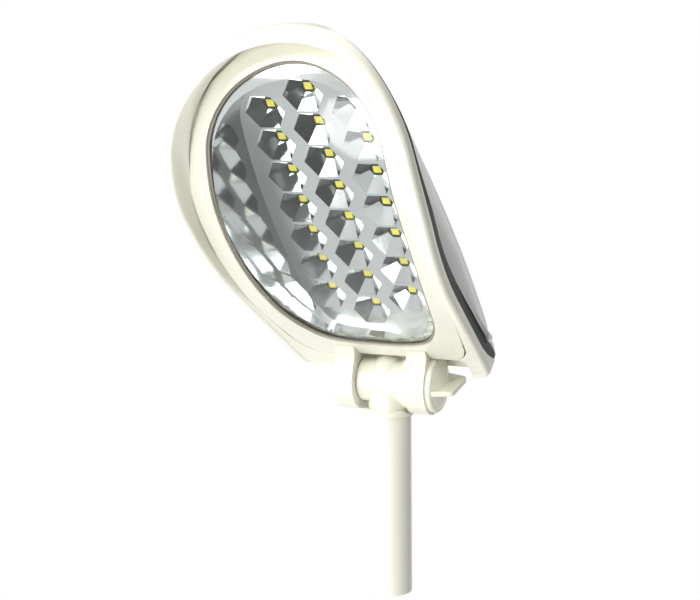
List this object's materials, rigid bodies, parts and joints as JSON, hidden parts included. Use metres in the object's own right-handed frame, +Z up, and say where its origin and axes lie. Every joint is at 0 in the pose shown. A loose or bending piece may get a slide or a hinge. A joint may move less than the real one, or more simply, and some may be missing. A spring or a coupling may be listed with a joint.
{
  "type": "dental operating light",
  "caption": "Rounded shield-shaped LED lamp head with a clear lens, leaning forward on a friction hinge with a wing knob at the top of a short pole.",
  "frame": {"origin": "centre of the pole's lower end, where the stand or arm holds it", "axes": "+Z up the pole; -Y is the side the lens faces; +X is the knob's side"},
  "size_m": [0.1178, 0.1343, 0.2827],
  "materials": {
    "cream_plastic": "semi-gloss moulded",
    "pole_paint": "semi-gloss powder coat",
    "rear_plastic": "semi-gloss moulded",
    "dark_rubber": "matte",
    "seal_rubber": "matte",
    "clear_lens": "clear moulded",
    "mirror_coat": "vacuum metallised",
    "board_green": "solder mask",
    "led_black": "moulded",
    "phosphor_yellow": "silicone phosphor",
    "spreader_aluminium": "milled",
    "steel": "plated",
    "brass": "turned",
    "chip_black": "moulded",
    "coil_ferrite": "sintered",
    "terminal_white": "moulded",
    "lead_red": "extruded jacket",
    "lead_black": "extruded jacket",
    "washer_nylon": "moulded"
  },
  "bodies": {
    "stand": {"pole_tube": "pole_paint", "pole_head": "cream_plastic", "grub_screw": "steel"},
    "lamp_head": {"bezel_frame": "cream_plastic", "hood_ring": "cream_plastic", "band_gasket": "dark_rubber", "rear_cover": "rear_plastic", "lens_seal": "seal_rubber", "lens": "clear_lens", "reflector": "mirror_coat", "led_board": "board_green", "led_bodies": "led_black", "led_phosphors": "phosphor_yellow", "heat_spreader": "spreader_aluminium", "engine_screws": "steel", "driver_spacers": "brass", "driver_board": "board_green", "driver_chips": "chip_black", "driver_coil": "coil_ferrite", "supply_terminal": "terminal_white", "supply_lead_live": "lead_red", "supply_lead_return": "lead_black", "cable_gland": "dark_rubber", "cover_screws": "steel", "hinge_bolt": "steel", "thrust_washer_left": "washer_nylon", "thrust_washer_right": "washer_nylon"},
    "clamp_knob": {"wing_knob": "cream_plastic", "knob_insert": "brass"}
  },
  "joints": [
    {"name": "head_tilt", "type": "hinge", "parent": "stand", "child": "lamp_head", "pos_m": [0, 0, 0.109], "axis": [1, 0, 0], "range_deg": [-65, 60]},
    {"name": "knob_turn", "type": "hinge", "parent": "lamp_head", "child": "clamp_knob", "pos_m": [0, 0, 0.109], "axis": [1, 0, 0], "range_deg": [0, 360]}
  ]
}
